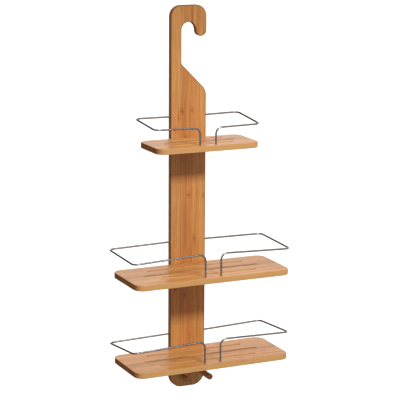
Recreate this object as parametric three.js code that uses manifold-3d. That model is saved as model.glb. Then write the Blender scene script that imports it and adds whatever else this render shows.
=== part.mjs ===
// A bamboo shower caddy that hangs over a shower arm. A flat back board ends in a hook at the top;
// three slotted shelves are screwed to its front face, each fenced by two bent wire rails, and two
// dowel pegs stand out of its lower end. Millimetres, +Z up, the front faces -Y. The origin is the
// top of the hook's throat, halfway through the board, where the shower arm lies.

import * as THREE from 'three';
import * as BufferGeometryUtils from 'three/addons/utils/BufferGeometryUtils.js';
import Module from 'manifold-3d';

// Driving dimensions.
const STOCK = 11;                // thickness of the bamboo sheet the board and shelves are cut from
const FIT = 0.3;                 // clearance left where two pieces meet

const BOARD_WIDTH = 73;
const BOARD_TOP = 31.5;          // above the origin
const BOARD_BOTTOM = -707.5;
const BOARD_EDGE = 1.5;          // rounding of the board's long edges
const CROWN_RADIUS = 21;         // outer corners over the hook
const FOOT_RADIUS = 25;          // corners of the lower end
const ARM_WIDTH = 22;            // width of the hook's stem and of its tip
const THROAT_RISE = 16;          // height of the arch over the throat
const STEM_BOTTOM = -77.5;       // where the stem meets the sloping shoulder
const STEM_FILLET = 7;
const SHOULDER_FILLET = 24;

const SHELF_EDGE = 2;            // rounding of the shelves' edges
const SHELF_CORNER = 18;
const SLOT_WIDTH = 6;
const SHELVES = [
  { name: 'top', width: 207, depth: 98, top: -217, slotEnd: 31.5, sideSlotEnd: 46.5, railHole: 40.5 },
  { name: 'middle', width: 315, depth: 125, top: -460, slotEnd: 41, sideSlotEnd: 59, railHole: 42.5 },
  { name: 'bottom', width: 315, depth: 125, top: -626, slotEnd: 41, sideSlotEnd: 59, railHole: 27 },
];

// Each rail is bent and sprung in by hand, so each one sits a little differently. Heights of its
// back corner, front corner and inner bend over the shelf.
const RAIL_SET = {
  top: { left: [41, 33.5, 32], right: [41.5, 32.5, 31] },
  middle: { left: [40, 37.5, 43.5], right: [41, 37.5, 42.5] },
  bottom: { left: [24, 36, 42], right: [31, 39.5, 43] },
};
const WIRE = 3.5;                // wire diameter
const RAIL_OVERHANG = 2.5;       // from the shelf's end out to the middle of the wire
const RAIL_INSET = 11;           // from the shelf's front edge back to the middle of the wire
const LEG_OFFSET = 16;           // from the middle of the shelf to each rail's leg
const CORNER_BEND = 10;
const LEG_BEND = 12;
const BOARD_HOLE_DEPTH = 14;
const LEG_HOLE_DEPTH = 8;

const PEG = 12;                  // dowel diameter
const PEG_REACH = 54;            // in front of the board
const PEG_OFFSET = 24;
const PEG_HEIGHT = -676.5;
const PEG_BORE_DEPTH = 8;
const PEG_ROUNDING = 2;

const SCREW = { shank: 3.5, head: 7, headHeight: 2.1, length: 30, recess: 4.2, recessDepth: 1.6 };
const SCREW_OFFSET = 20;
const SCREW_SINK = 0.4;          // head below the board's back face

const FRONT = -STOCK / 2;        // y of the board's front face
const BACK = STOCK / 2;
const HALF_BOARD = BOARD_WIDTH / 2;
const BEYOND = 5;                // how far a cutter stands clear of the face that it enters

const bamboo = new THREE.MeshStandardMaterial({ color: 0xc68e58, roughness: 0.5, metalness: 0 });
const shelfBamboo = new THREE.MeshStandardMaterial({ color: 0xd09a66, roughness: 0.45, metalness: 0 });
const pegBamboo = new THREE.MeshStandardMaterial({ color: 0xbb8450, roughness: 0.5, metalness: 0 });
const railSteel = new THREE.MeshStandardMaterial({ color: 0x9a9793, roughness: 0.3, metalness: 1 });
const screwSteel = new THREE.MeshStandardMaterial({ color: 0x8c8a86, roughness: 0.35, metalness: 1 });

const wasm = await Module();
wasm.setup();

// A closed three.js geometry as a solid that can be joined and cut.
function solidOf(geometry) {
  const bare = geometry.clone();
  bare.deleteAttribute('normal');
  bare.deleteAttribute('uv');
  const merged = BufferGeometryUtils.mergeVertices(bare, 1e-4);
  return new wasm.Manifold(new wasm.Mesh({
    numProp: 3,
    vertProperties: new Float32Array(merged.attributes.position.array),
    triVerts: new Uint32Array(merged.index.array),
  }));
}

function geometryOf(solid) {
  const mesh = solid.getMesh();
  const geometry = new THREE.BufferGeometry();
  geometry.setAttribute('position', new THREE.BufferAttribute(mesh.vertProperties, 3));
  geometry.setIndex(new THREE.BufferAttribute(mesh.triVerts, 1));
  geometry.computeVertexNormals();
  return geometry;
}

function cut(geometry, cutters) {
  let solid = solidOf(geometry);
  for (const cutter of cutters) {
    solid = solid.subtract(solidOf(cutter));
  }
  return geometryOf(solid);
}

// A sheet with rounded edges, lying in XY, its thickness centred on z = 0.
function sheet(shape, thickness, edge, curveSegments) {
  const geometry = new THREE.ExtrudeGeometry(shape, {
    depth: thickness - 2 * edge,
    bevelEnabled: true,
    bevelThickness: edge,
    bevelSize: edge,
    bevelOffset: -edge,
    bevelSegments: 2,
    curveSegments,
  });
  geometry.translate(0, 0, edge - thickness / 2);
  return geometry;
}

function roundedRectangle(xLow, yLow, xHigh, yHigh, radius) {
  const shape = new THREE.Shape();
  shape.moveTo(xLow + radius, yLow);
  shape.lineTo(xHigh - radius, yLow);
  shape.absarc(xHigh - radius, yLow + radius, radius, -Math.PI / 2, 0, false);
  shape.lineTo(xHigh, yHigh - radius);
  shape.absarc(xHigh - radius, yHigh - radius, radius, 0, Math.PI / 2, false);
  shape.lineTo(xLow + radius, yHigh);
  shape.absarc(xLow + radius, yHigh - radius, radius, Math.PI / 2, Math.PI, false);
  shape.lineTo(xLow, yLow + radius);
  shape.absarc(xLow + radius, yLow + radius, radius, Math.PI, Math.PI * 1.5, false);
  return shape;
}

// A round cutter or pin from one point to another.
function rod(from, to, radius, sides = 12) {
  const length = from.distanceTo(to);
  const geometry = new THREE.CylinderGeometry(radius, radius, length, sides);
  const along = to.clone().sub(from).normalize();
  const turn = new THREE.Quaternion().setFromUnitVectors(new THREE.Vector3(0, 1, 0), along);
  geometry.applyQuaternion(turn);
  const middle = from.clone().add(to).multiplyScalar(0.5);
  geometry.translate(middle.x, middle.y, middle.z);
  return geometry;
}

// Outline of the board seen from the front: x to the right, y up.
function boardOutline() {
  const throat = HALF_BOARD - ARM_WIDTH;
  const tipRadius = ARM_WIDTH / 2;
  const tipCentre = HALF_BOARD - tipRadius;
  const eighth = Math.PI / 4;
  // The shoulder runs down at 45 degrees from the foot of the stem to the board's right side.
  const stemTangent = STEM_FILLET * Math.tan(eighth / 2);
  const sideTangent = SHOULDER_FILLET * Math.tan(eighth / 2);
  const sideCorner = STEM_BOTTOM - (HALF_BOARD + throat);

  const shape = new THREE.Shape();
  shape.moveTo(-HALF_BOARD, BOARD_BOTTOM + FOOT_RADIUS);
  shape.absarc(-HALF_BOARD + FOOT_RADIUS, BOARD_BOTTOM + FOOT_RADIUS, FOOT_RADIUS,
    Math.PI, Math.PI * 1.5, false);
  shape.lineTo(HALF_BOARD - FOOT_RADIUS, BOARD_BOTTOM);
  shape.absarc(HALF_BOARD - FOOT_RADIUS, BOARD_BOTTOM + FOOT_RADIUS, FOOT_RADIUS,
    Math.PI * 1.5, Math.PI * 2, false);
  shape.lineTo(HALF_BOARD, sideCorner - sideTangent);
  shape.absarc(HALF_BOARD - SHOULDER_FILLET, sideCorner - sideTangent, SHOULDER_FILLET,
    0, eighth, false);
  shape.absarc(-throat + STEM_FILLET, STEM_BOTTOM + stemTangent, STEM_FILLET,
    Math.PI + eighth, Math.PI, true);
  shape.lineTo(-throat, -THROAT_RISE);
  shape.absellipse(0, -THROAT_RISE, throat, THROAT_RISE, Math.PI, 0, true);
  shape.absarc(tipCentre, -THROAT_RISE, tipRadius, Math.PI, Math.PI * 2, false);
  shape.lineTo(HALF_BOARD, BOARD_TOP - CROWN_RADIUS);
  shape.absarc(HALF_BOARD - CROWN_RADIUS, BOARD_TOP - CROWN_RADIUS, CROWN_RADIUS,
    0, Math.PI / 2, false);
  shape.lineTo(-HALF_BOARD + CROWN_RADIUS, BOARD_TOP);
  shape.absarc(-HALF_BOARD + CROWN_RADIUS, BOARD_TOP - CROWN_RADIUS, CROWN_RADIUS,
    Math.PI / 2, Math.PI, false);
  return shape;
}

const point = (x, y, z) => new THREE.Vector3(x, y, z);
const screwHeight = (shelf) => shelf.top - STOCK / 2;
const legDepth = (shelf) => FRONT - shelf.depth + RAIL_INSET;

// Outline of a screw turned about its axis, grown all round by clearance; y runs from the tip's
// end at -length up to the flat of the head at 0, and on to above.
function screwProfile(clearance, above) {
  const shank = SCREW.shank / 2 + clearance;
  const head = SCREW.head / 2 + clearance;
  const profile = [
    new THREE.Vector2(0, -SCREW.length - clearance),
    new THREE.Vector2(shank, -SCREW.length + SCREW.shank - clearance),
    new THREE.Vector2(shank, -SCREW.headHeight),
    new THREE.Vector2(head, 0),
  ];
  if (above > 0) {
    profile.push(new THREE.Vector2(head, above));
  }
  profile.push(new THREE.Vector2(0, above));
  return profile;
}

// Turned about Y with its head at +Y, so it already points from the back of the board to the front.
function screwShape(x, z, clearance, above) {
  const geometry = new THREE.LatheGeometry(screwProfile(clearance, above), 14);
  geometry.translate(x, BACK - SCREW_SINK, z);
  return geometry;
}

function makeBoard() {
  const board = sheet(boardOutline(), STOCK, BOARD_EDGE, 6);
  board.rotateX(Math.PI / 2);
  const cutters = [];
  const railBore = WIRE / 2 + FIT;
  const pegBore = PEG / 2 + FIT;
  for (const shelf of SHELVES) {
    for (const side of [-1, 1]) {
      const height = shelf.top + shelf.railHole;
      const bottom = HALF_BOARD - BOARD_HOLE_DEPTH - FIT;
      cutters.push(rod(point(side * bottom, 0, height), point(side * (HALF_BOARD + BEYOND), 0, height),
        railBore));
      cutters.push(screwShape(side * SCREW_OFFSET, screwHeight(shelf), FIT, BEYOND));
    }
  }
  for (const side of [-1, 1]) {
    const x = side * PEG_OFFSET;
    cutters.push(rod(point(x, FRONT - BEYOND, PEG_HEIGHT),
      point(x, FRONT + PEG_BORE_DEPTH + FIT, PEG_HEIGHT), pegBore, 24));
  }
  return cut(board, cutters);
}

function makeShelf(shelf) {
  const half = shelf.width / 2;
  const front = FRONT - shelf.depth;
  const outline = roundedRectangle(-half, front, half, FRONT - FIT, SHELF_CORNER);
  const body = sheet(outline, STOCK, SHELF_EDGE, 4);
  body.translate(0, 0, shelf.top - STOCK / 2);
  const cutters = [];
  const slotEnds = [shelf.sideSlotEnd, shelf.slotEnd, shelf.sideSlotEnd];
  slotEnds.forEach((end, row) => {
    const y = FRONT - shelf.depth * (row + 1) / (slotEnds.length + 1);
    const reach = half - end;
    const slot = new THREE.ExtrudeGeometry(
      roundedRectangle(-reach, y - SLOT_WIDTH / 2, reach, y + SLOT_WIDTH / 2, SLOT_WIDTH / 2 - 0.01),
      { depth: STOCK + 2 * BEYOND, bevelEnabled: false, curveSegments: 3 });
    slot.translate(0, 0, shelf.top - STOCK - BEYOND);
    cutters.push(slot);
  });
  for (const side of [-1, 1]) {
    const x = side * LEG_OFFSET;
    const y = legDepth(shelf);
    cutters.push(rod(point(x, y, shelf.top + BEYOND), point(x, y, shelf.top - LEG_HOLE_DEPTH - FIT),
      WIRE / 2 + FIT));
    cutters.push(screwShape(side * SCREW_OFFSET, screwHeight(shelf), FIT, 0));
  }
  return cut(body, cutters);
}

// A wire bent round the given corners. Sections stand only at the ends of the bends and within
// them, so the straight runs cost nothing.
class WireRoute extends THREE.Curve {
  constructor(corners, radii, bendSteps) {
    super();
    this.stations = [];
    const direction = (i) => corners[i + 1].clone().sub(corners[i]).normalize();
    this.stations.push({ place: corners[0], tangent: direction(0) });
    radii.forEach((radius, i) => {
      const corner = corners[i + 1];
      const before = direction(i);
      const after = direction(i + 1);
      const angle = before.angleTo(after);
      const reach = radius * Math.tan(angle / 2);
      const start = corner.clone().addScaledVector(before, -reach);
      // Unit vector from the start of the bend towards the centre that the wire turns about.
      const inward = after.clone().addScaledVector(before, -after.dot(before)).normalize();
      const steps = Math.max(1, Math.ceil(bendSteps * angle / (Math.PI / 2)));
      for (let step = 0; step <= steps; step += 1) {
        const turned = angle * step / steps;
        const place = start.clone()
          .addScaledVector(before, radius * Math.sin(turned))
          .addScaledVector(inward, radius * (1 - Math.cos(turned)));
        const tangent = before.clone().multiplyScalar(Math.cos(turned))
          .addScaledVector(inward, Math.sin(turned));
        this.stations.push({ place, tangent });
      }
    });
    const last = corners.length - 1;
    this.stations.push({ place: corners[last], tangent: direction(last - 1) });
  }

  get steps() {
    return this.stations.length - 1;
  }

  stationAt(u) {
    return this.stations[Math.round(u * this.steps)];
  }

  getPoint(u, target = new THREE.Vector3()) {
    return target.copy(this.stationAt(u).place);
  }

  getPointAt(u, target) {
    return this.getPoint(u, target);
  }

  getTangentAt(u, target = new THREE.Vector3()) {
    return target.copy(this.stationAt(u).tangent);
  }
}

// From the blind hole in the board's side, out behind the shelf, forward past its end, back along
// its front and down into the hole in its top.
function makeRail(shelf, side) {
  const [backCorner, frontCorner, innerBend] = RAIL_SET[shelf.name][side < 0 ? 'left' : 'right'];
  const outer = side * (shelf.width / 2 + RAIL_OVERHANG);
  const inner = side * LEG_OFFSET;
  const y = legDepth(shelf);
  const hole = shelf.top + shelf.railHole;
  const corners = [
    point(side * (HALF_BOARD - BOARD_HOLE_DEPTH), 0, hole),
    point(side * (HALF_BOARD + WIRE), 0, hole),
    point(outer, 0, shelf.top + backCorner),
    point(outer, y, shelf.top + frontCorner),
    point(inner, y, shelf.top + innerBend),
    point(inner, y, shelf.top - LEG_HOLE_DEPTH),
  ];
  const route = new WireRoute(corners, [CORNER_BEND, CORNER_BEND, CORNER_BEND, LEG_BEND], 5);
  const section = new THREE.Shape();
  section.absarc(0, 0, WIRE / 2, 0, Math.PI * 2, false);
  return new THREE.ExtrudeGeometry(section, {
    steps: route.steps,
    extrudePath: route,
    curveSegments: 5,
  });
}

// A dowel glued in a blind bore, its front end rounded.
function makePeg(side) {
  const radius = PEG / 2;
  const inside = PEG_BORE_DEPTH;
  const profile = [new THREE.Vector2(0, -inside), new THREE.Vector2(radius, -inside)];
  const arcSteps = 4;
  for (let step = 0; step <= arcSteps; step += 1) {
    const angle = Math.PI / 2 * step / arcSteps;
    profile.push(new THREE.Vector2(
      radius - PEG_ROUNDING * (1 - Math.cos(angle)),
      PEG_REACH - PEG_ROUNDING * (1 - Math.sin(angle)),
    ));
  }
  profile.push(new THREE.Vector2(0, PEG_REACH));
  const peg = new THREE.LatheGeometry(profile, 24);
  peg.rotateX(Math.PI);
  peg.translate(side * PEG_OFFSET, FRONT, PEG_HEIGHT);
  return peg;
}

// A countersunk wood screw with a cross recess.
function makeScrew(shelf, side) {
  const x = side * SCREW_OFFSET;
  const z = screwHeight(shelf);
  const body = screwShape(x, z, 0, 0);
  const arms = [[SCREW.recess, 1], [1, SCREW.recess]].map(([wide, high]) => {
    const arm = new THREE.BoxGeometry(wide, 2 * SCREW.recessDepth, high);
    arm.translate(x, BACK - SCREW_SINK, z);
    return arm;
  });
  return cut(body, arms);
}

const caddy = new THREE.Group();

function add(name, geometry, material) {
  const mesh = new THREE.Mesh(geometry, material);
  mesh.name = name;
  caddy.add(mesh);
}

const SIDES = [['left', -1], ['right', 1]];

add('back_board', makeBoard(), bamboo);
for (const shelf of SHELVES) {
  add(`${shelf.name}_shelf`, makeShelf(shelf), shelfBamboo);
  for (const [word, side] of SIDES) {
    add(`${shelf.name}_rail_${word}`, makeRail(shelf, side), railSteel);
    add(`${shelf.name}_shelf_screw_${word}`, makeScrew(shelf, side), screwSteel);
  }
}
for (const [word, side] of SIDES) {
  add(`peg_${word}`, makePeg(side), pegBamboo);
}

export default caddy;
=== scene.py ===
import math

import bmesh
import bpy
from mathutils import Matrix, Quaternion, Vector
from mathutils.geometry import delaunay_2d_cdt


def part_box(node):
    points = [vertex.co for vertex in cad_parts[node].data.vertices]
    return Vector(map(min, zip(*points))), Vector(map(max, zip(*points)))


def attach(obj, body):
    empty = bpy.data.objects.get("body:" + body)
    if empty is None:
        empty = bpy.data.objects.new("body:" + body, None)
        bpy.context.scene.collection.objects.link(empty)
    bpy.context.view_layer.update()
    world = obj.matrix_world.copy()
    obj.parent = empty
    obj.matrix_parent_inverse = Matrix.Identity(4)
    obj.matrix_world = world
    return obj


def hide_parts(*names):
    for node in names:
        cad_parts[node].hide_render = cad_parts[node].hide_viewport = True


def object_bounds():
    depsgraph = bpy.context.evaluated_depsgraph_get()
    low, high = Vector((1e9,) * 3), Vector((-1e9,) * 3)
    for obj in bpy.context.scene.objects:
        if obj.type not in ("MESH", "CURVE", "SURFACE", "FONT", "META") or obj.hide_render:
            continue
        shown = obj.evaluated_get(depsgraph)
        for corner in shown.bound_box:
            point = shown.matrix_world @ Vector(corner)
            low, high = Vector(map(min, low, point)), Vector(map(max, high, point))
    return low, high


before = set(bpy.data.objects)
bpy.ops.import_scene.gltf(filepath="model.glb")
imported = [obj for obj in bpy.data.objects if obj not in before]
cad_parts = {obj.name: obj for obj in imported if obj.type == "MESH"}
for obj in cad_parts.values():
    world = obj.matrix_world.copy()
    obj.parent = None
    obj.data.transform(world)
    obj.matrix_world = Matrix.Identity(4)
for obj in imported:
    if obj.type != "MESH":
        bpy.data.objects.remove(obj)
cad_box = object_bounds()

# ---------------------------------------------------------------------------------------------
# Back board. One flat piece sawn from laminated bamboo sheet, with a hook cut in its top end that
# goes over the shower arm. Its long edges are rounded over on a router table and the whole is
# lacquered satin. Holes are drilled for the rails, the screws and the two pegs.

BOARD_ROUNDING = 0.0015
CROWN_RADIUS = 0.021        # outer corners over the hook
FOOT_RADIUS = 0.025         # corners of the lower end
ARM_WIDTH = 0.022           # width of the hook's stem and of its tip
THROAT_RISE = 0.016         # height of the arch over the throat
STEM_BOTTOM = -0.0775
STEM_FILLET = 0.007
SHOULDER_FILLET = 0.024
BOARD_STRIP = 0.0064        # width of the strips that the sheet is glued up from

board_low, board_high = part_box("back_board")
half_board = (board_high.x - board_low.x) / 2
stock = board_high.y - board_low.y


def arc(centre, radii, start, end, steps):
    """Points along an arc, angles in degrees, both ends included."""
    points = []
    for step in range(steps + 1):
        angle = math.radians(start + (end - start) * step / steps)
        points.append((centre[0] + radii[0] * math.cos(angle), centre[1] + radii[1] * math.sin(angle)))
    return points


def board_outline():
    """The board seen from the front, anticlockwise from its lower left corner."""
    throat = half_board - ARM_WIDTH
    tip = ARM_WIDTH / 2
    eighth = math.radians(45)
    stem_tangent = STEM_FILLET * math.tan(eighth / 2)
    side_tangent = SHOULDER_FILLET * math.tan(eighth / 2)
    side_corner = STEM_BOTTOM - half_board - throat
    foot = (FOOT_RADIUS, FOOT_RADIUS)
    crown = (CROWN_RADIUS, CROWN_RADIUS)
    bottom = board_low.z + FOOT_RADIUS
    top = board_high.z - CROWN_RADIUS
    points = arc((-half_board + FOOT_RADIUS, bottom), foot, 180, 270, 20)
    points += arc((half_board - FOOT_RADIUS, bottom), foot, 270, 360, 20)
    points += arc((half_board - SHOULDER_FILLET, side_corner - side_tangent),
                  (SHOULDER_FILLET, SHOULDER_FILLET), 0, 45, 10)
    points += arc((-throat + STEM_FILLET, STEM_BOTTOM + stem_tangent),
                  (STEM_FILLET, STEM_FILLET), 225, 180, 8)
    points += arc((0, -THROAT_RISE), (throat, THROAT_RISE), 180, 0, 32)
    points += arc((half_board - tip, -THROAT_RISE), (tip, tip), 180, 360, 28)[1:]
    points += arc((half_board - CROWN_RADIUS, top), crown, 0, 90, 18)
    points += arc((-half_board + CROWN_RADIUS, top), crown, 90, 180, 18)
    return points


def inset(points, distance):
    """The closed outline moved into its own left side, which is the wood of an anticlockwise one."""
    moved = []
    for i, point in enumerate(points):
        here = Vector(point)
        before = (here - Vector(points[i - 1])).normalized()
        after = (Vector(points[(i + 1) % len(points)]) - here).normalized()
        normal = Vector((-before.y - after.y, before.x + after.x)).normalized()
        spread = max(0.5, normal.dot(Vector((-before.y, before.x))))
        moved.append(here + normal * (distance / spread))
    return moved


def encloses(outline, spot):
    """Whether a spot lies inside a closed outline."""
    crossings = 0
    for i, (x, y) in enumerate(outline):
        before_x, before_y = outline[i - 1]
        if (y > spot.y) != (before_y > spot.y):
            crossings += spot.x < before_x + (x - before_x) * (spot.y - before_y) / (y - before_y)
    return crossings % 2 == 1


def made(name, mesh):
    """The object that a finished mesh becomes, put in the scene."""
    data = bpy.data.meshes.new(name)
    mesh.to_mesh(data)
    mesh.free()
    piece = bpy.data.objects.new(name, data)
    bpy.context.scene.collection.objects.link(piece)
    return piece


def rounded_sheet(name, loops, low, high, place):
    """A sheet from low to high in thickness. Each loop is (points, rounding): the first is the
    outside, anticlockwise, and the rest are openings, clockwise, whose walls are the second
    material. place puts a point in the frame."""
    edge_steps = 6
    mesh = bmesh.new()
    flats = {high: ([], [], []), low: ([], [], [])}
    for number, (points, rounding) in enumerate(loops):
        rings = []
        for side, sign in ((high, -1), (low, 1)):
            order = range(edge_steps + 1) if side == high else range(edge_steps, -1, -1)
            for step in order:
                turn = math.radians(90 * step / edge_steps)
                moved = inset(points, rounding * (1 - math.sin(turn)))
                level = side + sign * rounding * (1 - math.cos(turn))
                rings.append([mesh.verts.new(place(p[0], p[1], level)) for p in moved])
                if step == 0:
                    flat, verts, edges = flats[side]
                    start = len(flat)
                    count = len(moved)
                    flat.extend(moved)
                    verts.extend(rings[-1])
                    edges.extend((start + i, start + (i + 1) % count) for i in range(count))
        for ring, following in zip(rings, rings[1:]):
            for i in range(len(ring)):
                j = (i + 1) % len(ring)
                wall = mesh.faces.new((ring[i], ring[j], following[j], following[i]))
                wall.material_index = min(number, 1)
    openings = [inset(points, rounding) for points, rounding in loops[1:]]
    within_outline = 1
    tolerance = 1e-7
    for flat, verts, edges in flats.values():
        filled = delaunay_2d_cdt(flat, edges, [], within_outline, tolerance)
        spots, _, triangles, origins = filled[:4]
        for triangle in triangles:
            middle = sum((spots[i] for i in triangle), Vector((0, 0))) / 3
            if not any(encloses(opening, middle) for opening in openings):
                mesh.faces.new([verts[origins[i][0]] for i in triangle])
    bmesh.ops.recalc_face_normals(mesh, faces=mesh.faces)
    return made(name, mesh)


def turned(name, profile, start, axis, sides):
    """A closed turned shape. The profile is (radius, distance along the axis from start)."""
    mesh = bmesh.new()
    turn = Vector((0, 0, 1)).rotation_difference(Vector(axis)).to_matrix()
    rings = []
    for radius, along in profile:
        if radius == 0:
            rings.append([mesh.verts.new(start + turn @ Vector((0, 0, along)))])
            continue
        ring = []
        for i in range(sides):
            angle = math.tau * i / sides
            spot = Vector((radius * math.cos(angle), radius * math.sin(angle), along))
            ring.append(mesh.verts.new(start + turn @ spot))
        rings.append(ring)
    for ring, following in zip(rings, rings[1:]):
        for i in range(sides):
            j = (i + 1) % sides
            corners = [ring[i % len(ring)], ring[j % len(ring)],
                       following[j % len(following)], following[i % len(following)]]
            mesh.faces.new(list(dict.fromkeys(corners)))
    bmesh.ops.recalc_face_normals(mesh, faces=mesh.faces)
    return made(name, mesh)


def drill(piece, bits):
    """Cuts each bit's shape out of the piece and takes the bits away."""
    for bit in bits:
        bore = piece.modifiers.new("bore", "BOOLEAN")
        bore.operation = "DIFFERENCE"
        bore.solver = "EXACT"
        bore.object = bit
    result = piece.evaluated_get(bpy.context.evaluated_depsgraph_get())
    drilled = bpy.data.meshes.new_from_object(result)
    piece.modifiers.clear()
    piece.data = drilled
    for bit in bits:
        bpy.data.objects.remove(bit)


def smooth(piece):
    """Smooth shading on the rounded edges only: flats stay flat and drilled rims stay crisp."""
    piece.data.polygons.foreach_set("use_smooth", [True] * len(piece.data.polygons))
    piece.data.set_sharp_from_angle(angle=math.radians(40))
    weighted = piece.modifiers.new("flat faces", "WEIGHTED_NORMAL")
    weighted.keep_sharp = True
    weighted.weight = 100


BIT_SIDES = 40


def round_bit(start, end, radius):
    """A plain cutter from one point to another."""
    along = end - start
    profile = [(0, 0), (radius, 0), (radius, along.length), (0, along.length)]
    return turned("bit", profile, start, along.normalized(), BIT_SIDES)


def new_finish(name):
    """A plain finish to build on, with its node tree and its surface shader."""
    finish = bpy.data.materials.new(name)
    finish.use_nodes = True
    return finish, finish.node_tree, finish.node_tree.nodes["Principled BSDF"]


def node(tree, kind, inputs, **settings):
    """Adds a shader node. An input is a value or another node's output. Returns its outputs."""
    added = tree.nodes.new("ShaderNode" + kind)
    for setting, value in settings.items():
        setattr(added, setting, value)
    for socket, value in inputs.items():
        if isinstance(value, bpy.types.NodeSocket):
            tree.links.new(value, added.inputs[socket])
        else:
            added.inputs[socket].default_value = value
    return added.outputs


def calc(tree, operation, *values):
    """A sum or other piece of arithmetic on the values."""
    return node(tree, "Math", dict(enumerate(values)), operation=operation)[0]


def blend_colour(tree, share, first, second, blend_type="MIX"):
    """The first colour with a share of the second mixed in, or multiplied by it."""
    inputs = {0: share, 6: first, 7: second}
    return node(tree, "Mix", inputs, data_type="RGBA", blend_type=blend_type)[2]


def ramp(tree, value, low, high, low_value=0.0, high_value=1.0):
    """A smooth step of the value from low to high."""
    inputs = {0: value, 1: low, 2: high, 3: low_value, 4: high_value}
    return node(tree, "MapRange", inputs, interpolation_type="SMOOTHSTEP")[0]


def bamboo_finish(name, along, across, through, strip, seed, pale, deep, edge, turned_by, arris_darkening,
                  bed, ply):
    """Lacquered bamboo. The three axes say which way its strips run, lie side by side and are
    layered. Strips differ in tone and are broken by growth rings; the layers are ply thick,
    counted from bed, and show with the cut fibre bundles where the end grain is. turned_by is how
    far a face leans over before its edge or end grain starts to show, and when it is all there.
    The argument after turned_by is how much the rounded arrises are darkened."""
    finish, tree, shader = new_finish(name)
    axes = node(tree, "SeparateXYZ", {0: node(tree, "TexCoord", {})["Object"]})
    run, side, depth = axes[along], axes[across], calc(tree, "SUBTRACT", axes[through], bed)

    # Which strip and which layer a point is in, and how far it lies from the glue line. The strips
    # are not all as wide.
    strips = calc(tree, "DIVIDE", side, strip)
    sway = node(tree, "TexNoise", {"W": calc(tree, "ADD", calc(tree, "MULTIPLY", strips, 0.6), seed),
                                   "Scale": 1.0, "Detail": 0.0}, noise_dimensions="1D")[0]
    strips = calc(tree, "ADD", strips, sway)
    strip_number = calc(tree, "FLOOR", strips)
    within = calc(tree, "FRACT", strips)
    layers = calc(tree, "DIVIDE", depth, ply)
    layer_number = calc(tree, "FLOOR", layers)
    tag = calc(tree, "ADD", calc(tree, "MULTIPLY_ADD", layer_number, 17.0, strip_number), seed)
    chance = node(tree, "TexWhiteNoise", {"W": tag}, noise_dimensions="1D")
    chances = node(tree, "SeparateColor", {0: chance["Color"]})
    to_glue = calc(tree, "MINIMUM", within, calc(tree, "SUBTRACT", 1.0, within))
    glue = ramp(tree, calc(tree, "MULTIPLY", to_glue, strip), 0.0, 0.0004, 1.0, 0.0)

    def streaks(run_scale, side_scale, detail, offset):
        """Noise drawn out along the strip and broken at every glue line."""
        spot = node(tree, "CombineXYZ", {
            0: calc(tree, "MULTIPLY", run, run_scale),
            1: calc(tree, "MULTIPLY", side, side_scale),
            2: calc(tree, "MULTIPLY", depth, side_scale),
        })[0]
        return node(tree, "TexNoise", {
            "Vector": spot, "W": calc(tree, "ADD", calc(tree, "MULTIPLY", tag, 3.7), offset),
            "Scale": 1.0, "Detail": detail, "Roughness": 0.6,
        }, noise_dimensions="4D")[0]

    clouds = streaks(11.0, 60.0, 2.0, 0.0)
    bands = streaks(7.0, 480.0, 2.0, 5.0)
    fibres = streaks(45.0, 2600.0, 3.0, 9.0)

    # Growth rings of the stalk, at a different height in every strip and missing from some: a
    # fine brown line, slightly bowed, in a redder patch.
    spacing = 0.31
    bow_depth = 0.002
    wander_reach = 0.004
    ring_place = calc(tree, "MULTIPLY_ADD", chances[0], 7.0, calc(tree, "DIVIDE", run, spacing))
    ring_place = calc(tree, "SUBTRACT", calc(tree, "FRACT", ring_place), 0.5)
    off_middle = calc(tree, "SUBTRACT", within, 0.5)
    bow = calc(tree, "MULTIPLY", calc(tree, "POWER", off_middle, 2.0), bow_depth * 4)
    wander = calc(tree, "MULTIPLY", calc(tree, "SUBTRACT", bands, 0.5), wander_reach)
    off_ring = calc(tree, "MULTIPLY_ADD", ring_place, spacing, calc(tree, "ADD", bow, wander))
    ring_gap = calc(tree, "ABSOLUTE", off_ring)
    ring_here = calc(tree, "GREATER_THAN", chances[2], 0.35)
    ring_line = calc(tree, "MULTIPLY", ramp(tree, ring_gap, 0.0002, 0.0012, 1.0, 0.0), ring_here)
    ring_patch = calc(tree, "MULTIPLY", ramp(tree, ring_gap, 0.001, 0.011, 1.0, 0.0), ring_here)

    tone = calc(tree, "MULTIPLY_ADD", chances[1], 0.45, calc(tree, "MULTIPLY", clouds, 0.75))
    wood = blend_colour(tree, ramp(tree, tone, 0.15, 1.0), pale, deep)
    wood = blend_colour(tree, calc(tree, "MULTIPLY", chances[2], 0.45), wood, (1.04, 0.90, 0.86, 1),
                        "MULTIPLY")
    stain_spot = node(tree, "CombineXYZ", {0: calc(tree, "MULTIPLY", run, 4.0),
                                           1: calc(tree, "MULTIPLY", side, 14.0), 2: seed})[0]
    stain = node(tree, "TexNoise", {"Vector": stain_spot, "Scale": 1.0, "Detail": 2.0})[0]
    wood = blend_colour(tree, ramp(tree, stain, 0.35, 0.65), wood, (0.91, 0.90, 0.94, 1), "MULTIPLY")
    wood = blend_colour(tree, ramp(tree, bands, 0.38, 0.64), wood, (0.84, 0.74, 0.64, 1), "MULTIPLY")
    wood = blend_colour(tree, ramp(tree, fibres, 0.45, 0.75), wood, (0.74, 0.62, 0.52, 1), "MULTIPLY")
    wood = blend_colour(tree, calc(tree, "MULTIPLY", ring_patch, 0.75), wood, (0.84, 0.66, 0.50, 1),
                        "MULTIPLY")
    wood = blend_colour(tree, calc(tree, "MULTIPLY", ring_line, 0.7), wood, (0.50, 0.34, 0.22, 1),
                        "MULTIPLY")
    wood = blend_colour(tree, calc(tree, "MULTIPLY", glue, 0.22), wood, (0.50, 0.36, 0.26, 1), "MULTIPLY")

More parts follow.
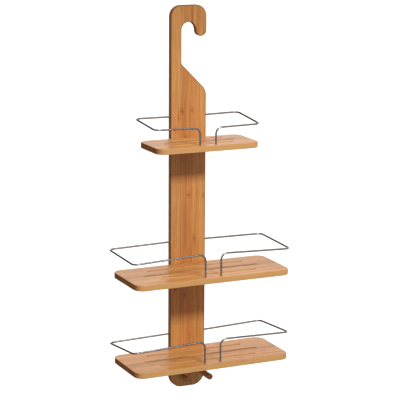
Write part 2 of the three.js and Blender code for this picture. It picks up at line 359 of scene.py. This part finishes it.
    # Sawn long edges show the strips' paler flanks. End grain: cut fibre bundles as dark dots,
    # each layer in its own tone, with glue lines between them.
    facing = node(tree, "SeparateXYZ", {0: node(tree, "NewGeometry", {})["Normal"]})
    on_edge = ramp(tree, calc(tree, "ABSOLUTE", facing[across]), *turned_by)
    wood = blend_colour(tree, calc(tree, "MULTIPLY", on_edge, 0.75), wood, edge)
    on_end = ramp(tree, calc(tree, "ABSOLUTE", facing[along]), *turned_by)
    end_spot = node(tree, "CombineXYZ", {0: side, 1: depth, 2: 0.0})[0]
    dots = node(tree, "TexVoronoi", {"Vector": end_spot, "Scale": 1400.0})["Distance"]
    layer_place = calc(tree, "FRACT", layers)
    to_layer = calc(tree, "MINIMUM", layer_place, calc(tree, "SUBTRACT", 1.0, layer_place))
    layer_line = ramp(tree, calc(tree, "MULTIPLY", to_layer, ply), 0.0002, 0.0008, 1.0, 0.0)
    layer_chance = node(tree, "TexWhiteNoise", {"W": calc(tree, "ADD", layer_number, 0.5)},
                        noise_dimensions="1D")[0]
    end = blend_colour(tree, ramp(tree, dots, 0.1, 0.6), (0.11, 0.036, 0.010, 1), (0.32, 0.115, 0.034, 1))
    end = blend_colour(tree, calc(tree, "MULTIPLY", layer_chance, 0.75), end, (0.62, 0.255, 0.09, 1))
    end = blend_colour(tree, calc(tree, "MULTIPLY", chances[1], 0.25), end, (0.16, 0.06, 0.02, 1))
    end = blend_colour(tree, calc(tree, "MULTIPLY", layer_line, 0.85), end, (0.05, 0.017, 0.006, 1))
    colour = blend_colour(tree, on_end, wood, end)
    # The rounded arrises, between the flat faces and the edges, are darkened by that share.
    flatness = calc(tree, "ABSOLUTE", facing[through])
    arris = calc(tree, "MULTIPLY", ramp(tree, flatness, 0.05, 0.30),
                 ramp(tree, flatness, 0.93, 0.995, 1.0, 0.0))
    colour = blend_colour(tree, calc(tree, "MULTIPLY", arris, arris_darkening), colour, (0.30, 0.22, 0.17, 1),
                          "MULTIPLY")
    tree.links.new(colour, shader.inputs["Base Color"])

    rough = calc(tree, "MULTIPLY_ADD", fibres, 0.14, calc(tree, "MULTIPLY_ADD", clouds, 0.10, 0.27))
    rough = calc(tree, "MULTIPLY_ADD", on_end, 0.18, rough)
    tree.links.new(rough, shader.inputs["Roughness"])
    shader.inputs["Specular IOR Level"].default_value = 0.35
    shader.inputs["Coat Weight"].default_value = 0.15
    shader.inputs["Coat Roughness"].default_value = 0.2

    height = calc(tree, "MULTIPLY_ADD", bands, 0.5, fibres)
    height = calc(tree, "SUBTRACT", height, calc(tree, "MULTIPLY", glue, 0.5))
    height = calc(tree, "ADD", height, calc(tree, "MULTIPLY", ring_patch, 0.4))
    bump = node(tree, "Bump", {"Height": height, "Strength": 0.3, "Distance": 0.0002})[0]
    tree.links.new(bump, shader.inputs["Normal"])
    return finish


SHELVES = ("top", "middle", "bottom")
SIDES = {"left": -1, "right": 1}
WIRE = 0.0035
WIRE_HOLE = 0.0038          # drilled a little wide, so the wire can be sprung in
RAIL_HOLE = {"top": 0.0405, "middle": 0.0425, "bottom": 0.027}    # over the shelf's top
RAIL_HOLE_DEPTH = 0.0143
PEG_HOLE_DEPTH = 0.0083
HEAD = 0.0035               # radius of a screw's countersunk head
HEAD_DEPTH = 0.0021
SHANK = 0.00175
SCREW_SLACK = 0.0002        # how much wider than a screw its hole is, all round
PEG_SLACK = 0.0001          # room for the glue, all round
BEYOND = 0.004              # how far a drill bit stands clear of the face that it enters


def shelf_top(shelf):
    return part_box(f"{shelf}_shelf")[1].z


def head_spot(shelf, word):
    """The middle of a screw's head, just under the board's back face."""
    low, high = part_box(f"{shelf}_shelf_screw_{word}")
    return Vector(((low.x + high.x) / 2, high.y, (low.z + high.z) / 2))


def screw_bit(shelf, word):
    """The drill and countersink for one screw, from the back of the board."""
    head = HEAD + SCREW_SLACK
    shank = SHANK + SCREW_SLACK
    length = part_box(f"{shelf}_shelf_screw_{word}")[1].y - board_low.y + BEYOND
    profile = [(0, -BEYOND), (head, -BEYOND), (head, 0), (shank, HEAD_DEPTH), (shank, length), (0, length)]
    return turned("screw bit", profile, head_spot(shelf, word), (0, -1, 0), BIT_SIDES)


bits = []
for shelf in SHELVES:
    for word, side in SIDES.items():
        bottom = Vector((side * (half_board - RAIL_HOLE_DEPTH), 0, shelf_top(shelf) + RAIL_HOLE[shelf]))
        bits.append(round_bit(bottom, bottom + Vector((side * (RAIL_HOLE_DEPTH + BEYOND), 0, 0)),
                              WIRE_HOLE / 2))
        bits.append(screw_bit(shelf, word))
for word in SIDES:
    low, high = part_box(f"peg_{word}")
    bottom = Vector(((low.x + high.x) / 2, board_low.y + PEG_HOLE_DEPTH, (low.z + high.z) / 2))
    hole_radius = (high.x - low.x) / 2 + PEG_SLACK
    bits.append(round_bit(bottom, bottom - Vector((0, PEG_HOLE_DEPTH + BEYOND, 0)), hole_radius))

board = rounded_sheet("board", [(board_outline(), BOARD_ROUNDING)], board_low.y, board_high.y,
                      lambda u, v, level: Vector((u, level, v)))
drill(board, bits)
smooth(board)
board.data.materials.append(bamboo_finish(
    "board bamboo", along=2, across=0, through=1, strip=BOARD_STRIP, seed=3.0,
    pale=(0.70, 0.368, 0.116, 1), deep=(0.49, 0.198, 0.050, 1), edge=(0.51, 0.265, 0.122, 1),
    turned_by=(0.12, 0.70), arris_darkening=1.0, bed=board_low.y, ply=stock / 2))
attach(board, "root")
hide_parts("back_board")

# ---------------------------------------------------------------------------------------------
# Shelves. Three pieces of the same bamboo sheet with the grain running from end to end. Corners
# and edges are rounded, and three drain slots are routed right through. Each shelf's back edge is
# butted against the board and pulled up by two screws.

SHELF_ROUNDING = 0.0011
SHELF_CORNER = 0.018
SHELF_STRIP = 0.0068
SLOT = 0.006
SLOT_ROUNDING = 0.0012
SLOT_END = {"top": 0.0315, "middle": 0.041, "bottom": 0.041}      # from the shelf's end to the slot's
SIDE_SLOT_END = {"top": 0.0465, "middle": 0.059, "bottom": 0.059}
LEG_OFFSET = 0.016          # from the middle of the shelf to each rail's leg
RAIL_INSET = 0.011          # from the shelf's front edge back to the middle of the wire
LEG_HOLE_DEPTH = 0.0083
TIP_SLACK = 0.0003          # room left at the tip of a screw


def shelf_outline(low, high):
    """The shelf seen from above, anticlockwise."""
    radii = (SHELF_CORNER, SHELF_CORNER)
    left, right = low.x + SHELF_CORNER, high.x - SHELF_CORNER
    front, back = low.y + SHELF_CORNER, high.y - SHELF_CORNER
    return (arc((left, front), radii, 180, 270, 16) + arc((right, front), radii, 270, 360, 16)
            + arc((right, back), radii, 0, 90, 16) + arc((left, back), radii, 90, 180, 16))


def slot_outline(reach, y):
    """A drain slot with round ends, clockwise."""
    radii = (SLOT / 2, SLOT / 2)
    end = reach - SLOT / 2
    return arc((end, y), radii, 90, -90, 12) + arc((-end, y), radii, 270, 90, 12)


def shaded_slot_wall_finish():
    """The slots' routed walls, barely lacquered: the cut fibres' own darker tone, with painted shade over
    it that makes them near black, as the inside of a slot is shaded.
    """
    finish, tree, shader = new_finish("slot wall with painted shade")
    spot = node(tree, "TexCoord", {})["Object"]
    drawn = node(tree, "Mapping", {"Vector": spot, "Scale": (60.0, 900.0, 900.0)})[0]
    fibres = node(tree, "TexNoise", {"Vector": drawn, "Scale": 1.0, "Detail": 4.0})[0]
    # The wall colour is painted shade over the cut wood's own tone, with blotches where the painted shade
    # is deeper.
    deep_shade_blotches = node(tree, "TexNoise", {"Vector": spot, "Scale": 45.0, "Detail": 2.0})[0]
    colour = blend_colour(tree, fibres, (0.032, 0.011, 0.004, 1), (0.10, 0.038, 0.011, 1))
    colour = blend_colour(tree, ramp(tree, deep_shade_blotches, 0.4, 0.7, 0.0, 0.5), colour, (0.03, 0.011, 0.005, 1))
    tree.links.new(colour, shader.inputs["Base Color"])
    tree.links.new(calc(tree, "MULTIPLY_ADD", fibres, 0.2, 0.5), shader.inputs["Roughness"])
    bump = node(tree, "Bump", {"Height": fibres, "Strength": 0.4, "Distance": 0.0002})[0]
    tree.links.new(bump, shader.inputs["Normal"])
    return finish


# Every bamboo piece has its own seed, so that no two have the same grain.
shaded_slot_wall = shaded_slot_wall_finish()
for number, shelf in enumerate(SHELVES):
    low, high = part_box(f"{shelf}_shelf")
    depth = board_low.y - low.y
    loops = [(shelf_outline(low, high), SHELF_ROUNDING)]
    ends = [SIDE_SLOT_END[shelf], SLOT_END[shelf], SIDE_SLOT_END[shelf]]
    for row, end in enumerate(ends, 1):
        y = board_low.y - depth * row / (len(ends) + 1)
        loops.append((slot_outline(high.x - end, y), SLOT_ROUNDING))
    piece = rounded_sheet(f"{shelf}_shelf_bamboo", loops, low.z, high.z,
                          lambda u, v, level: Vector((u, v, level)))
    bits = []
    for word, side in SIDES.items():
        mouth = Vector((side * LEG_OFFSET, low.y + RAIL_INSET, high.z))
        bits.append(round_bit(mouth - Vector((0, 0, LEG_HOLE_DEPTH)), mouth + Vector((0, 0, BEYOND)),
                              WIRE_HOLE / 2))
        screw_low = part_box(f"{shelf}_shelf_screw_{word}")[0]
        head = head_spot(shelf, word)
        bits.append(round_bit(Vector((head.x, screw_low.y - TIP_SLACK, head.z)),
                              Vector((head.x, high.y + BEYOND, head.z)), SHANK + SCREW_SLACK))
    drill(piece, bits)
    smooth(piece)
    piece.data.materials.clear()
    # The shelves' bamboo is set paler than the board's. This is partly its own tone and partly painted
    # light, standing in for the stronger light that falls on the shelves' tops.
    piece.data.materials.append(bamboo_finish(
        f"{shelf} shelf bamboo", along=0, across=1, through=2, strip=SHELF_STRIP,
        seed=40.0 + 31.0 * number, pale=(0.86, 0.452, 0.151, 1), deep=(0.66, 0.302, 0.085, 1),
        edge=(0.52, 0.295, 0.105, 1), turned_by=(0.55, 0.93), arris_darkening=0.1, bed=low.z, ply=stock / 3))
    # The slot walls' finish carries painted shade.
    piece.data.materials.append(shaded_slot_wall)
    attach(piece, "root")
    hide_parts(f"{shelf}_shelf")

# ---------------------------------------------------------------------------------------------
# Screws. Six countersunk stainless screws with a cross recess, driven from behind through the
# board into the shelves' back edges.

HEAD_RIM = 0.00015          # thickness of the head's edge
PLAIN_SHARE = 0.3           # how much of the screw, from its head, has no thread
THREAD = 0.0014             # from one thread to the next
RECESS = 0.0042
RECESS_WIDTH = 0.0011
RECESS_DEPTH = 0.0016
SCREW_SIDES = 32


def screw_finish():
    """Plain stainless, lightly turned."""
    finish, tree, shader = new_finish("screw steel")
    spot = node(tree, "TexCoord", {})["Object"]
    grain = node(tree, "TexNoise", {"Vector": spot, "Scale": 2500.0, "Detail": 3.0})[0]
    colour = blend_colour(tree, grain, (0.42, 0.41, 0.39, 1), (0.58, 0.57, 0.55, 1))
    tree.links.new(colour, shader.inputs["Base Color"])
    tree.links.new(calc(tree, "MULTIPLY_ADD", grain, 0.2, 0.22), shader.inputs["Roughness"])
    shader.inputs["Metallic"].default_value = 1.0
    bump = node(tree, "Bump", {"Height": grain, "Strength": 0.2, "Distance": 0.00005})[0]
    tree.links.new(bump, shader.inputs["Normal"])
    return finish


def recess_arm(spot, wide, high):
    """One arm of the cross recess, narrower at its bottom. wide and high are its size at the face."""
    mouth_share = 1.3
    bottom_share = 0.7
    mesh = bmesh.new()
    rings = []
    for along, share in ((RECESS_DEPTH, mouth_share), (-RECESS_DEPTH, bottom_share)):
        corners = [(-wide, -high), (wide, -high), (wide, high), (-wide, high)]
        rings.append([mesh.verts.new(spot + Vector((x * share / 2, along, z * share / 2)))
                      for x, z in corners])
    for i in range(4):
        j = (i + 1) % 4
        mesh.faces.new((rings[0][i], rings[0][j], rings[1][j], rings[1][i]))
    mesh.faces.new(rings[0])
    mesh.faces.new(rings[1])
    bmesh.ops.recalc_face_normals(mesh, faces=mesh.faces)
    return made("recess arm", mesh)


screw_steel = screw_finish()
for shelf in SHELVES:
    for word in SIDES:
        low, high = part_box(f"{shelf}_shelf_screw_{word}")
        length = high.y - low.y
        plain = length * PLAIN_SHARE
        profile = [(0, 0), (HEAD * 0.9, 0), (HEAD, HEAD_RIM), (SHANK * 1.02, HEAD_DEPTH), (SHANK, plain)]
        threads = int((length - plain - SHANK * 2) / THREAD)
        for thread in range(threads):
            valley = plain + THREAD * (thread + 0.5)
            profile += [(SHANK * 0.72, valley), (SHANK, valley + THREAD / 2)]
        profile.append((0, length))
        spot = head_spot(shelf, word)
        screw = turned(f"{shelf}_screw_{word}", profile, spot, (0, -1, 0), SCREW_SIDES)
        drill(screw, [recess_arm(spot, RECESS, RECESS_WIDTH), recess_arm(spot, RECESS_WIDTH, RECESS)])
        smooth(screw)
        screw.data.materials.clear()
        screw.data.materials.append(screw_steel)
        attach(screw, "root")
        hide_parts(f"{shelf}_shelf_screw_{word}")

# ---------------------------------------------------------------------------------------------
# Rails. Each is one length of 3.5 mm stainless wire, bent by hand. It starts in a hole in the
# board's side, runs out behind the shelf, forward past its end, back along its front and down
# into a hole in the shelf's top.

CORNER_BEND = 0.010
LEG_BEND = 0.012
BEND_STEP = 6               # degrees
WIRE_CHAMFER = 0.00042      # on the cut ends
WIRE_SIDES = 20
# Heights over the shelf of each rail's back corner, front corner and inner bend: no two are bent
# or sprung in quite alike.
RAIL_SET = {
    "top": {"left": (0.041, 0.0335, 0.032), "right": (0.0415, 0.0325, 0.031)},
    "middle": {"left": (0.040, 0.0375, 0.0435), "right": (0.041, 0.0375, 0.0425)},
    "bottom": {"left": (0.024, 0.036, 0.042), "right": (0.031, 0.0395, 0.043)},
}


def wire_line(corners, bends):
    """Points and directions along a wire with a round bend at each inner corner."""
    line = []
    direction = (corners[1] - corners[0]).normalized()
    line.append((corners[0], direction))
    for corner, following, radius in zip(corners[1:], corners[2:], bends):
        onward = (following - corner).normalized()
        angle = direction.angle(onward)
        start = corner - direction * radius * math.tan(angle / 2)
        inward = (onward - direction * onward.dot(direction)).normalized()
        steps = max(2, round(math.degrees(angle) / BEND_STEP))
        for step in range(steps + 1):
            turn = angle * step / steps
            spot = start + direction * radius * math.sin(turn) + inward * radius * (1 - math.cos(turn))
            line.append((spot, direction * math.cos(turn) + inward * math.sin(turn)))
        direction = onward
    line.append((corners[-1], direction))
    return line


def bent_wire(name, line):
    """A round wire along the line, its ends cut square with a small chamfer."""
    radius = WIRE / 2
    mesh = bmesh.new()
    side = line[0][1].orthogonal().normalized()
    rings = []
    start, start_way = line[0]
    end, end_way = line[-1]
    stations = [(start, start_way, radius - WIRE_CHAMFER),
                (start + start_way * WIRE_CHAMFER, start_way, radius)]
    stations += [(spot, direction, radius) for spot, direction in line[1:-1]]
    stations += [(end - end_way * WIRE_CHAMFER, end_way, radius),
                 (end, end_way, radius - WIRE_CHAMFER)]
    for spot, direction, reach in stations:
        side = (side - direction * side.dot(direction)).normalized()
        other = direction.cross(side)
        ring = []
        for i in range(WIRE_SIDES):
            angle = math.tau * i / WIRE_SIDES
            out = side * math.cos(angle) + other * math.sin(angle)
            ring.append(mesh.verts.new(spot + out * reach))
        rings.append(ring)
    for ring, following in zip(rings, rings[1:]):
        for i in range(WIRE_SIDES):
            j = (i + 1) % WIRE_SIDES
            mesh.faces.new((ring[i], ring[j], following[j], following[i]))
    mesh.faces.new(rings[0])
    mesh.faces.new(rings[-1])
    bmesh.ops.recalc_face_normals(mesh, faces=mesh.faces)
    return made(name, mesh)


def wire_finish():
    """Satin stainless: drawn lines and a faint mottle."""
    finish, tree, shader = new_finish("rail steel")
    spot = node(tree, "TexCoord", {})["Object"]
    mottle = node(tree, "TexNoise", {"Vector": spot, "Scale": 90.0, "Detail": 4.0})[0]
    fine = node(tree, "TexNoise", {"Vector": spot, "Scale": 1800.0, "Detail": 3.0})[0]
    colour = blend_colour(tree, mottle, (0.25, 0.24, 0.233, 1), (0.36, 0.347, 0.337, 1))
    tree.links.new(colour, shader.inputs["Base Color"])
    rough = calc(tree, "MULTIPLY_ADD", fine, 0.10, calc(tree, "MULTIPLY_ADD", mottle, 0.08, 0.18))
    tree.links.new(rough, shader.inputs["Roughness"])
    shader.inputs["Metallic"].default_value = 1.0
    bump = node(tree, "Bump", {"Height": fine, "Strength": 0.15, "Distance": 0.00003})[0]
    tree.links.new(bump, shader.inputs["Normal"])
    return finish


rail_steel = wire_finish()
for shelf in SHELVES:
    for word, side in SIDES.items():
        low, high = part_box(f"{shelf}_rail_{word}")
        outer = (low.x if side < 0 else high.x) - side * WIRE / 2
        leg = side * LEG_OFFSET
        front = low.y + WIRE / 2
        top = shelf_top(shelf)
        back_corner, front_corner, inner_bend = RAIL_SET[shelf][word]
        hole = top + RAIL_HOLE[shelf]
        corners = [
            Vector((side * (half_board - RAIL_HOLE_DEPTH), 0, hole)),
            Vector((side * (half_board + WIRE), 0, hole)),
            Vector((outer, 0, top + back_corner)),
            Vector((outer, front, top + front_corner)),
            Vector((leg, front, top + inner_bend)),
            Vector((leg, front, top - LEG_HOLE_DEPTH)),
        ]
        line = wire_line(corners, [CORNER_BEND, CORNER_BEND, CORNER_BEND, LEG_BEND])
        rail = bent_wire(f"{shelf}_wire_{word}", line)
        smooth(rail)
        rail.data.materials.append(rail_steel)
        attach(rail, "root")
        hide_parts(f"{shelf}_rail_{word}")

# ---------------------------------------------------------------------------------------------
# Pegs. Two bamboo dowels glued into blind holes near the board's lower end, their front ends
# rounded on a sander. Washcloths hang from them.

PEG_ROUNDING = 0.002
PEG_CHAMFER = 0.0005        # on the end in the board
PEG_LAYER = 0.006           # thickness and width of the strips that the dowel is turned from
PEG_SIDES = 48


def peg_profile(radius, length):
    """The dowel from its square back end to its rounded front end."""
    steps = 8
    profile = [(0, 0), (radius - PEG_CHAMFER, 0), (radius, PEG_CHAMFER)]
    for step in range(steps + 1):
        turn = math.radians(90 * step / steps)
        profile.append((radius - PEG_ROUNDING * (1 - math.cos(turn)),
                        length - PEG_ROUNDING * (1 - math.sin(turn))))
    profile.append((0, length))
    return profile


for number, word in enumerate(SIDES):
    low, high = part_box(f"peg_{word}")
    radius = (high.x - low.x) / 2
    start = Vector(((low.x + high.x) / 2, high.y, (low.z + high.z) / 2))
    peg = turned(f"peg_{word}_dowel", peg_profile(radius, high.y - low.y), start, (0, -1, 0), PEG_SIDES)
    smooth(peg)
    peg.data.materials.append(bamboo_finish(
        f"{word} peg bamboo", along=1, across=0, through=2, strip=PEG_LAYER, seed=200.0 + number,
        pale=(0.60, 0.31, 0.11, 1), deep=(0.44, 0.19, 0.06, 1), edge=(0.50, 0.24, 0.08, 1),
        turned_by=(0.5, 0.9), arris_darkening=0.0, bed=low.z, ply=PEG_LAYER))
    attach(peg, "root")
    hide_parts(f"peg_{word}")

# ---------------------------------------------------------------------------------------------
# Studio. A pale floor far below the hanging caddy, a softbox up in front, a little to the right,
# and a room that is bright behind on the right and dim elsewhere. A black cloth gives the steel
# its dark side and a black card takes a little light off the hook.

FLOOR_DROP = 3.6
FLOOR_REACH = 60.0
CLOTH_BACK = 0.5            # how far behind the board the cloth hangs


def panel(name, corners):
    """A flat sheet with these corners."""
    mesh = bmesh.new()
    mesh.faces.new([mesh.verts.new(corner) for corner in corners])
    return made(name, mesh)


floor = panel("floor", [(x * FLOOR_REACH, y * FLOOR_REACH, -FLOOR_DROP)
                        for x, y in ((-1, -1), (1, -1), (1, 1), (-1, 1))])
floor_paint, tree, paint = new_finish("pale floor")
grain = node(tree, "TexNoise", {"Vector": node(tree, "TexCoord", {})["Object"], "Scale": 0.6})[0]
shade = blend_colour(tree, grain, (0.90, 0.90, 0.90, 1), (0.94, 0.94, 0.94, 1))
tree.links.new(shade, paint.inputs["Base Color"])
tree.links.new(shade, paint.inputs["Emission Color"])
paint.inputs["Emission Strength"].default_value = 0.95
paint.inputs["Roughness"].default_value = 0.9
floor.data.materials.append(floor_paint)
floor.visible_diffuse = False
floor.visible_glossy = False

# The cloth hangs behind on the left and is seen only in the steel: it gives the left ends of the
# rails their dark side.
cloth = panel("black_cloth", [(x, CLOTH_BACK, z)
                              for x, z in ((-1.6, -1.8), (-0.15, -1.8), (-0.15, 0.9), (-1.6, 0.9))])
cloth_black, tree, felt = new_finish("black cloth")
felt.inputs["Base Color"].default_value = (0.01, 0.01, 0.01, 1)
felt.inputs["Roughness"].default_value = 1.0
cloth.data.materials.append(cloth_black)
cloth.visible_camera = False
cloth.visible_diffuse = False
cloth.visible_shadow = False

SOFTBOX_AZIMUTH = math.radians(6)
SOFTBOX_HEIGHT = math.radians(36)
SOFTBOX_DISTANCE = 3.5
lamp = bpy.data.lights.new("softbox", "AREA")
lamp.shape = "RECTANGLE"
lamp.size = 0.8
lamp.size_y = 0.45
lamp.energy = 104
softbox = bpy.data.objects.new("softbox", lamp)
toward_softbox = Vector((math.sin(SOFTBOX_AZIMUTH) * math.cos(SOFTBOX_HEIGHT),
                         -math.cos(SOFTBOX_AZIMUTH) * math.cos(SOFTBOX_HEIGHT),
                         math.sin(SOFTBOX_HEIGHT)))
softbox.location = (cad_box[0] + cad_box[1]) / 2 + toward_softbox * SOFTBOX_DISTANCE
softbox.rotation_mode = "QUATERNION"
softbox.rotation_quaternion = toward_softbox.to_track_quat("Z", "Y")
bpy.context.scene.collection.objects.link(softbox)

# The card stands out of sight, halfway between the softbox and the hook. The middle of its soft
# shadow's lower edge falls just over the hook.
CARD_REACH = 0.8            # to either side
CARD_RISE = 0.7
SHADOW_OVER_HOOK = 0.075
shadow_edge = Vector((0.0, board_low.y, board_high.z + SHADOW_OVER_HOOK))
card_foot = shadow_edge.lerp(softbox.location, 0.5)
card_corners = [(-CARD_REACH, 0), (CARD_REACH, 0), (CARD_REACH, CARD_RISE), (-CARD_REACH, CARD_RISE)]
card = panel("shading_card", [card_foot + Vector((x, 0, z)) for x, z in card_corners])
card.data.materials.append(cloth_black)
card.visible_camera = False
card.visible_diffuse = False
card.visible_glossy = False

# The room's own light: even and dim in front, and behind the caddy bright on the right, dark on
# the left and dim below the horizon. The camera itself sees plain white.
room = bpy.data.worlds.new("room")
room.use_nodes = True
bpy.context.scene.world = room
tree = room.node_tree
sky = tree.nodes["Background"]
way = node(tree, "SeparateXYZ", {0: node(tree, "TexCoord", {})["Generated"]})
to_right = ramp(tree, way[0], -0.15, 0.25, 0.07, 1.15)
over_horizon = ramp(tree, way[2], -0.16, 0.06, 0.25, 1.0)
back_wall = calc(tree, "MULTIPLY", to_right, over_horizon)
light = node(tree, "MapRange", {0: way[1], 1: 0.25, 2: 0.70, 3: 0.42, 4: back_wall},
             interpolation_type="SMOOTHSTEP")[0]
seen = node(tree, "LightPath", {})["Is Camera Ray"]
strength = calc(tree, "ADD", calc(tree, "MULTIPLY", light, calc(tree, "SUBTRACT", 1.0, seen)), seen)
tree.links.new(strength, sky.inputs["Strength"])
tree.links.new(blend_colour(tree, seen, (1.0, 0.98, 0.955, 1), (1, 1, 1, 1)), sky.inputs["Color"])

# ---------------------------------------------------------------------------------------------
# Camera. A long lens a little above the middle of the caddy, off to its left.

CAMERA_AZIMUTH = math.radians(-25.121)
CAMERA_HEIGHT = math.radians(12.106)
CAMERA_ROLL = math.radians(0.370)
CAMERA_DISTANCE = 3.1193
aim = Vector((0.0276, 0.0, -0.3412))
back = Vector((math.sin(CAMERA_AZIMUTH) * math.cos(CAMERA_HEIGHT),
               -math.cos(CAMERA_AZIMUTH) * math.cos(CAMERA_HEIGHT), math.sin(CAMERA_HEIGHT)))
camera_data = bpy.data.cameras.new("camera")
camera_data.lens = 147.06
camera_data.sensor_width = 36
camera_data.clip_end = 200
camera = bpy.data.objects.new("camera", camera_data)
camera.location = aim + back * CAMERA_DISTANCE
camera.rotation_mode = "QUATERNION"
camera.rotation_quaternion = (-back).to_track_quat("-Z", "Y") @ Quaternion((0, 0, 1), CAMERA_ROLL)
bpy.context.scene.collection.objects.link(camera)
bpy.context.scene.camera = camera
bpy.context.scene.view_settings.view_transform = "Standard"
